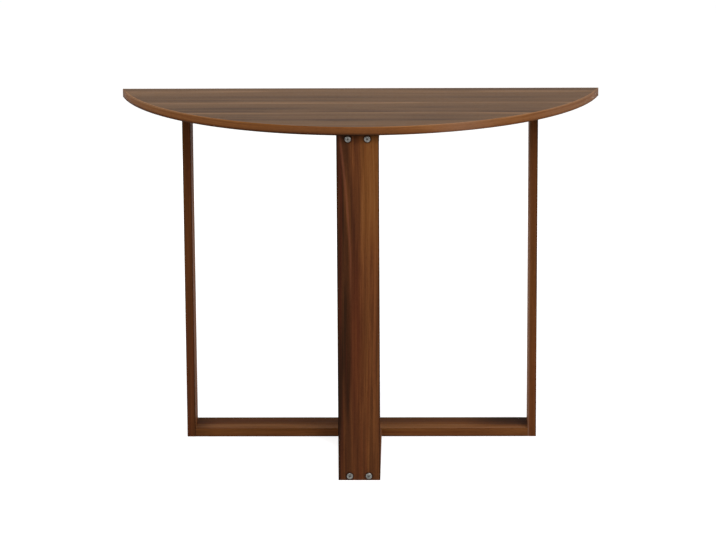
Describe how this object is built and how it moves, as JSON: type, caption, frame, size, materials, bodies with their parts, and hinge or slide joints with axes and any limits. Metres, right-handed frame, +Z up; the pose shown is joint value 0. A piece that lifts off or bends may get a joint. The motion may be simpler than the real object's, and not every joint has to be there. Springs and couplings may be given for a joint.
{
  "type": "folding console table",
  "caption": "D-shaped console table on a flat-board back frame, with a gate leg that folds flat and a top that tips up on hinges.",
  "frame": {"origin": "middle of the footprint on the floor: the centre of the whole table's box, at floor level", "axes": "+X along the straight back edge to the viewer's right, +Y towards the back, +Z up"},
  "size_m": [1.03, 0.4267, 0.76],
  "materials": {
    "top_veneer": "satin",
    "top_edge": "satin",
    "board_veneer": "satin",
    "board_edge": "satin",
    "dowel_wood": "matte",
    "zinc": "satin",
    "hinge_metal": "satin"
  },
  "bodies": {
    "back_frame": {"left_leg": "board_veneer", "right_leg": "board_veneer", "back_top_rail": "board_veneer", "back_bottom_rail": "board_veneer", "hinge_post": "board_veneer", "left_leg_edge_bands": "board_edge", "right_leg_edge_bands": "board_edge", "back_top_rail_edge_bands": "board_edge", "back_bottom_rail_edge_bands": "board_edge", "hinge_post_edge_bands": "board_edge", "cam_locks": "zinc", "cam_bolts": "zinc", "frame_dowels": "dowel_wood", "post_screws": "zinc", "gate_hinge_post_leaves": "hinge_metal", "gate_hinge_pins": "zinc", "gate_hinge_post_screws": "zinc", "top_hinge_rail_leaves": "hinge_metal", "top_hinge_pins": "zinc", "top_hinge_rail_screws": "zinc"},
    "gate_leg": {"front_leg": "board_veneer", "gate_top_rail": "board_veneer", "gate_bottom_rail": "board_veneer", "gate_stile": "board_veneer", "front_leg_edge_bands": "board_edge", "gate_top_rail_edge_bands": "board_edge", "gate_bottom_rail_edge_bands": "board_edge", "gate_stile_edge_bands": "board_edge", "front_leg_bolts": "zinc", "barrel_nuts": "zinc", "gate_dowels": "dowel_wood", "stile_screws": "zinc", "gate_hinge_stile_leaves": "hinge_metal", "gate_hinge_stile_screws": "zinc"},
    "top": {"table_top": "top_veneer", "top_curved_edge_band": "top_edge", "top_back_edge_band": "top_edge", "top_hinge_top_leaves": "hinge_metal", "top_hinge_top_screws": "zinc"}
  },
  "joints": [
    {"name": "gate_swing", "type": "hinge", "parent": "back_frame", "child": "gate_leg", "pos_m": [-0.04755, 0.11805, 0.371], "axis": [0, 0, -1], "range_deg": [0, 90]},
    {"name": "top_tip", "type": "hinge", "parent": "back_frame", "child": "top", "pos_m": [0, 0.2102, 0.742], "axis": [-1, 0, 0], "range_deg": [0, 90]}
  ]
}
